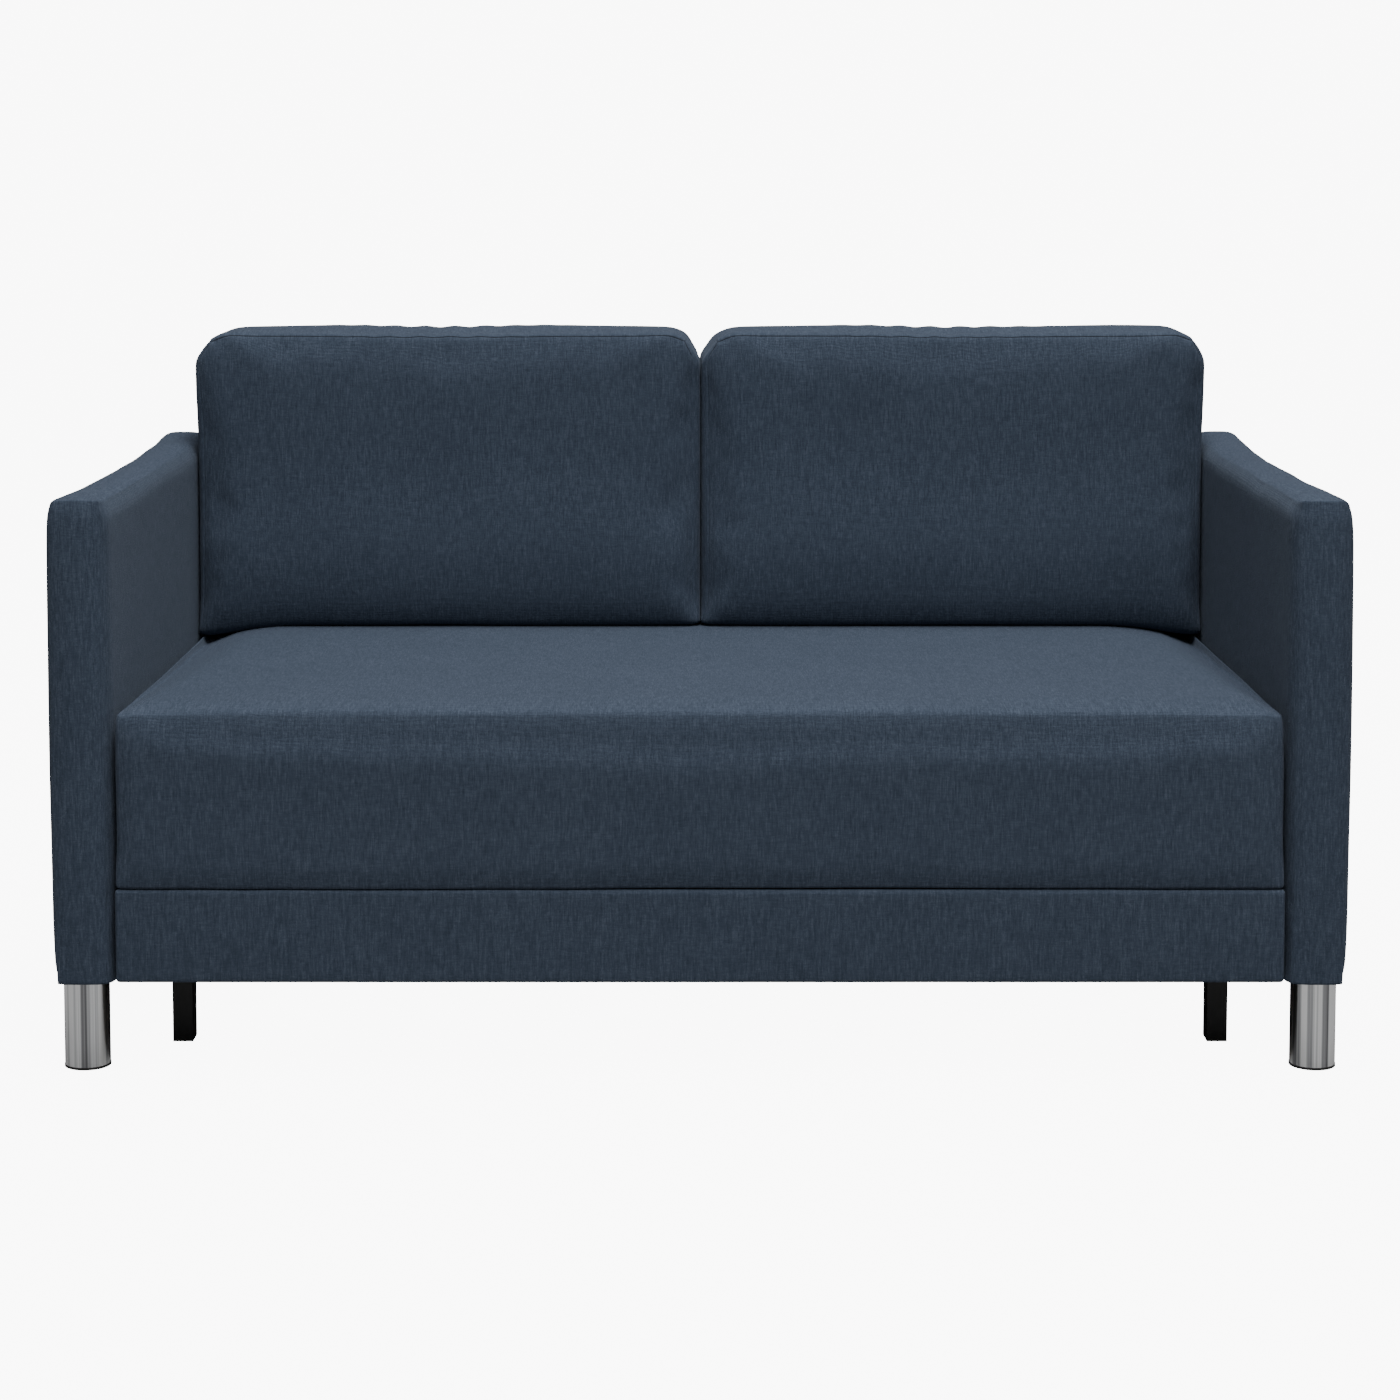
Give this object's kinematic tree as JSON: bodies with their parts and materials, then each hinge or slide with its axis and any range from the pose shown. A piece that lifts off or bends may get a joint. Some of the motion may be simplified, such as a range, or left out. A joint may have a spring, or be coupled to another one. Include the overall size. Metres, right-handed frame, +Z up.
{
  "type": "futon sofa bed",
  "caption": "Sofa bed with slab arms, a bench seat on chrome feet and loose back cushions; the seat pulls forward and the back unfolds flat into a bed.",
  "frame": {"origin": "centre of the whole sofa's footprint, on the floor", "axes": "+Z up, the sofa's front towards -Y, +X towards the right arm seen from the front"},
  "size_m": [1.55, 1.036, 0.862],
  "materials": {
    "upholstery": "woven",
    "timber": "satin",
    "chrome": "polished",
    "zinc": "satin",
    "black_steel": "satin",
    "black_plastic": "matt"
  },
  "bodies": {
    "frame": {"arm_left_cover": "upholstery", "arm_right_cover": "upholstery", "arm_left_frame": "timber", "arm_right_frame": "timber", "front_leg_left": "chrome", "front_leg_right": "chrome", "rear_leg_left": "chrome", "rear_leg_right": "chrome", "leg_glides": "black_plastic", "leg_plates": "black_steel", "leg_plate_screws": "zinc", "rear_beam": "timber", "rear_posts": "timber", "hinge_brackets": "black_steel", "bracket_bolts": "zinc", "main_hinge_pins": "zinc"},
    "rear_section": {"rear_side_rails": "black_steel", "rear_cross_rails": "black_steel", "rear_slats": "timber", "rear_mattress": "upholstery", "rear_fold_leaves": "black_steel"},
    "middle_section": {"middle_side_rails": "black_steel", "middle_cross_rails": "black_steel", "middle_slats": "timber", "middle_mattress": "upholstery", "middle_fold_leaves": "black_steel", "fold_pins": "zinc"},
    "middle_support": {"middle_support_legs": "black_steel", "middle_support_bar": "black_steel", "middle_support_feet": "black_plastic"},
    "seat": {"seat_side_rails": "black_steel", "seat_cross_rails": "black_steel", "seat_slats": "timber", "seat_mattress": "upholstery", "apron_panel": "upholstery", "apron_rail": "timber", "apron_side_panels": "upholstery", "black_leg_left": "black_steel", "black_leg_right": "black_steel", "black_leg_caps": "black_plastic", "roller_cheeks": "black_steel", "roller_fork_tops": "black_steel", "roller_axles": "zinc", "seat_link_plates": "black_steel", "seat_link_pins": "zinc"},
    "roller_left": {"roller_left": "black_plastic"},
    "roller_right": {"roller_right": "black_plastic"},
    "cushion_left": {"back_cushion_left": "upholstery"},
    "cushion_right": {"back_cushion_right": "upholstery"}
  },
  "joints": [
    {"name": "fold_out", "type": "hinge", "parent": "frame", "child": "rear_section", "pos_m": [0, 0.418, 0.345], "axis": [1, 0, 0], "range_deg": [0, 90]},
    {"name": "back_fold", "type": "hinge", "parent": "rear_section", "child": "middle_section", "pos_m": [0, 0.3905, 0.785], "axis": [1, 0, 0], "range_deg": [-180, 0]},
    {"name": "seat_link", "type": "hinge", "parent": "middle_section", "child": "seat", "pos_m": [0, 0.363, 0.345], "axis": [1, 0, 0], "range_deg": [0, 90]},
    {"name": "support_swing", "type": "hinge", "parent": "middle_section", "child": "middle_support", "pos_m": [0, 0.3905, 0.785], "axis": [1, 0, 0], "range_deg": [0, 90]},
    {"name": "roller_left_spin", "type": "hinge", "parent": "seat", "child": "roller_left", "pos_m": [-0.643, 0.182, 0.03], "axis": [1, 0, 0], "continuous": true},
    {"name": "roller_right_spin", "type": "hinge", "parent": "seat", "child": "roller_right", "pos_m": [0.643, 0.182, 0.03], "axis": [1, 0, 0], "continuous": true},
    {"name": "cushion_left_lift", "type": "slide", "parent": "middle_section", "child": "cushion_left", "axis": [0, 0, 1], "range_m": [0, 0.45]},
    {"name": "cushion_right_lift", "type": "slide", "parent": "middle_section", "child": "cushion_right", "axis": [0, 0, 1], "range_m": [0, 0.45]}
  ],
  "couplings": [
    {"joint": "back_fold", "follows": "fold_out", "ratio": -2},
    {"joint": "seat_link", "follows": "fold_out", "ratio": 1},
    {"joint": "support_swing", "follows": "fold_out", "ratio": 1}
  ]
}
